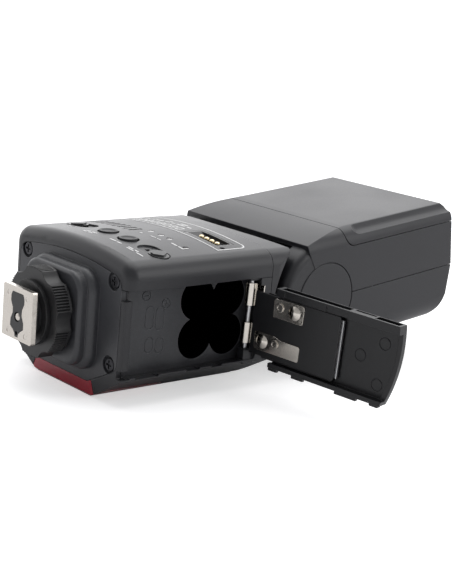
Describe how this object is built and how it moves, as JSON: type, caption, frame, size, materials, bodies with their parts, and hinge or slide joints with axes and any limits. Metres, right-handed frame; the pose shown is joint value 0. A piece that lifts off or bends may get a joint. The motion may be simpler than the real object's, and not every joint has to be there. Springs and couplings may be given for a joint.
{
  "type": "speedlight flash",
  "caption": "Shoe-mount speedlight flash with a tilting, swivelling head, an open sliding battery door, push keys, slide switches and a locking hot-shoe foot.",
  "frame": {"origin": "centre of the hot-shoe foot's contact face", "axes": "+X from the foot towards the head, +Z out of the control panel, -Y out of the battery-door side"},
  "size_m": [0.1864, 0.1341, 0.0654],
  "materials": {
    "casing": "fine sparked texture, charcoal black",
    "end_cap": "satin moulded black",
    "red_lens": "deep red translucent window",
    "dark_panel": "smoked black window",
    "bay_plastic": "satin moulded black",
    "door_plastic": "satin inside, textured outside",
    "neck_plastic": "fine texture, black",
    "head_shell": "fine sparked texture, charcoal black",
    "bezel_plastic": "smooth black",
    "lens_plastic": "clear ribbed lens",
    "flash_glass": "clear quartz tube",
    "reflector_metal": "bright anodised sheet",
    "nickel_foot": "warm nickel plate, brushed",
    "insulator_plastic": "smooth black",
    "ring_plastic": "satin black",
    "nickel_strip": "nickel-plated spring sheet",
    "steel": "plain steel",
    "screw_steel": "black-oxide screws",
    "rubber_keys": "soft-touch black",
    "switch_plastic": "satin black",
    "lamp_plastic": "smoked light pipe",
    "gold_pins": "gold plate",
    "board": "green circuit board",
    "component_black": "moulded components",
    "capacitor_sleeve": "shrink sleeve on an aluminium can",
    "winding": "enamelled winding on a ferrite core"
  },
  "bodies": {
    "body": {"back_cover": "casing", "front_cover": "casing", "base_plate": "end_cap", "base_screws": "screw_steel", "red_window": "red_lens", "front_panel": "dark_panel", "battery_box": "bay_plastic", "bay_contact_plates": "nickel_strip", "battery_springs": "nickel_strip", "hinge_pin": "steel", "slide_switch_bodies": "switch_plastic", "tact_switches": "component_black", "control_board": "board", "power_lamps": "lamp_plastic", "status_lamps": "lamp_plastic", "receiver_port": "bezel_plastic", "main_circuit_board": "board", "flash_capacitor": "capacitor_sleeve", "step_up_transformer": "winding", "trigger_capacitor_pack": "component_black", "sync_socket": "component_black", "slave_sensor": "dark_panel", "foot_plate": "nickel_foot", "foot_stem": "end_cap", "contact_insulator": "insulator_plastic", "contact_spring": "steel"},
    "neck": {"neck_back_half": "neck_plastic", "neck_front_half": "neck_plastic", "swivel_tube": "steel", "swivel_retainer": "steel", "tilt_axle": "steel", "neck_leads": "component_black"},
    "head": {"head_top_cover": "head_shell", "head_frame": "head_shell", "head_lower_cover": "head_shell", "pivot_caps": "head_shell", "head_screws": "screw_steel", "front_lens": "lens_plastic", "lens_bezel": "bezel_plastic", "reflector_frame": "bezel_plastic", "reflector": "reflector_metal", "xenon_tube": "flash_glass", "tube_boots": "rubber_keys", "trigger_coil": "winding", "head_circuit_board": "board"},
    "door": {"door_inner_plate": "door_plastic", "hinge_leaf": "nickel_strip", "contact_strips": "nickel_strip", "strip_rivets": "nickel_strip", "door_slide_sheet": "steel"},
    "door_slider": {"door_cover": "door_plastic"},
    "ring": {"lock_ring": "ring_plastic"},
    "disc": {"pressure_disc": "ring_plastic"},
    "shoe_pin": {"lock_pin": "nickel_foot"},
    "hot_contact": {"centre_contact": "nickel_foot"},
    "power_button": {"power_key": "rubber_keys"},
    "test_button": {"test_key": "rubber_keys"},
    "slave_switch": {"slave_switch_knob": "switch_plastic"},
    "main_switch": {"main_switch_knob": "switch_plastic"},
    "port_pins": {"receiver_pins": "gold_pins"}
  },
  "joints": [
    {"name": "head_swivel", "type": "hinge", "parent": "body", "child": "neck", "pos_m": [0.0857, 0, 0], "axis": [1, 0, 0], "range_deg": [-180, 90]},
    {"name": "head_tilt", "type": "hinge", "parent": "neck", "child": "head", "pos_m": [0.1145, 0, 0.003], "axis": [0, 1, 0], "range_deg": [0, 96.5]},
    {"name": "door_swing", "type": "hinge", "parent": "body", "child": "door", "pos_m": [0.0779, -0.0334, 0], "axis": [0.02, -0.0166, 0.9997], "range_deg": [-100.7, 2]},
    {"name": "door_slide", "type": "slide", "parent": "door", "child": "door_slider", "axis": [-0.1852, 0.9819, 0.04], "range_m": [0, 0.007]},
    {"name": "lock_ring_turn", "type": "hinge", "parent": "body", "child": "ring", "pos_m": [0.009, 0, 0], "axis": [1, 0, 0], "range_deg": [0, 70]},
    {"name": "pressure_disc_slide", "type": "slide", "parent": "body", "child": "disc", "axis": [-1, 0, 0], "range_m": [0, 0.0015]},
    {"name": "lock_pin_slide", "type": "slide", "parent": "body", "child": "shoe_pin", "axis": [-1, 0, 0], "range_m": [0, 0.0024]},
    {"name": "centre_contact_press", "type": "slide", "parent": "body", "child": "hot_contact", "axis": [1, 0, 0], "range_m": [0, 0.0008]},
    {"name": "power_button_press", "type": "slide", "parent": "body", "child": "power_button", "axis": [0, 0, -1], "range_m": [0, 0.0008]},
    {"name": "test_button_press", "type": "slide", "parent": "body", "child": "test_button", "axis": [0, 0, -1], "range_m": [0, 0.0008]},
    {"name": "slave_switch_slide", "type": "slide", "parent": "body", "child": "slave_switch", "axis": [0, -0.9952, 0.0979], "range_m": [0, 0.005]},
    {"name": "main_switch_slide", "type": "slide", "parent": "body", "child": "main_switch", "axis": [0, 0.9913, 0.1313], "range_m": [0, 0.005]},
    {"name": "port_pins_press", "type": "slide", "parent": "body", "child": "port_pins", "axis": [0, 0, -1], "range_m": [0, 0.0006]}
  ],
  "couplings": [
    {"joint": "pressure_disc_slide", "follows": "lock_ring_turn", "m_per_rad": 0.00122},
    {"joint": "lock_pin_slide", "follows": "lock_ring_turn", "m_per_rad": 0.001964}
  ]
}
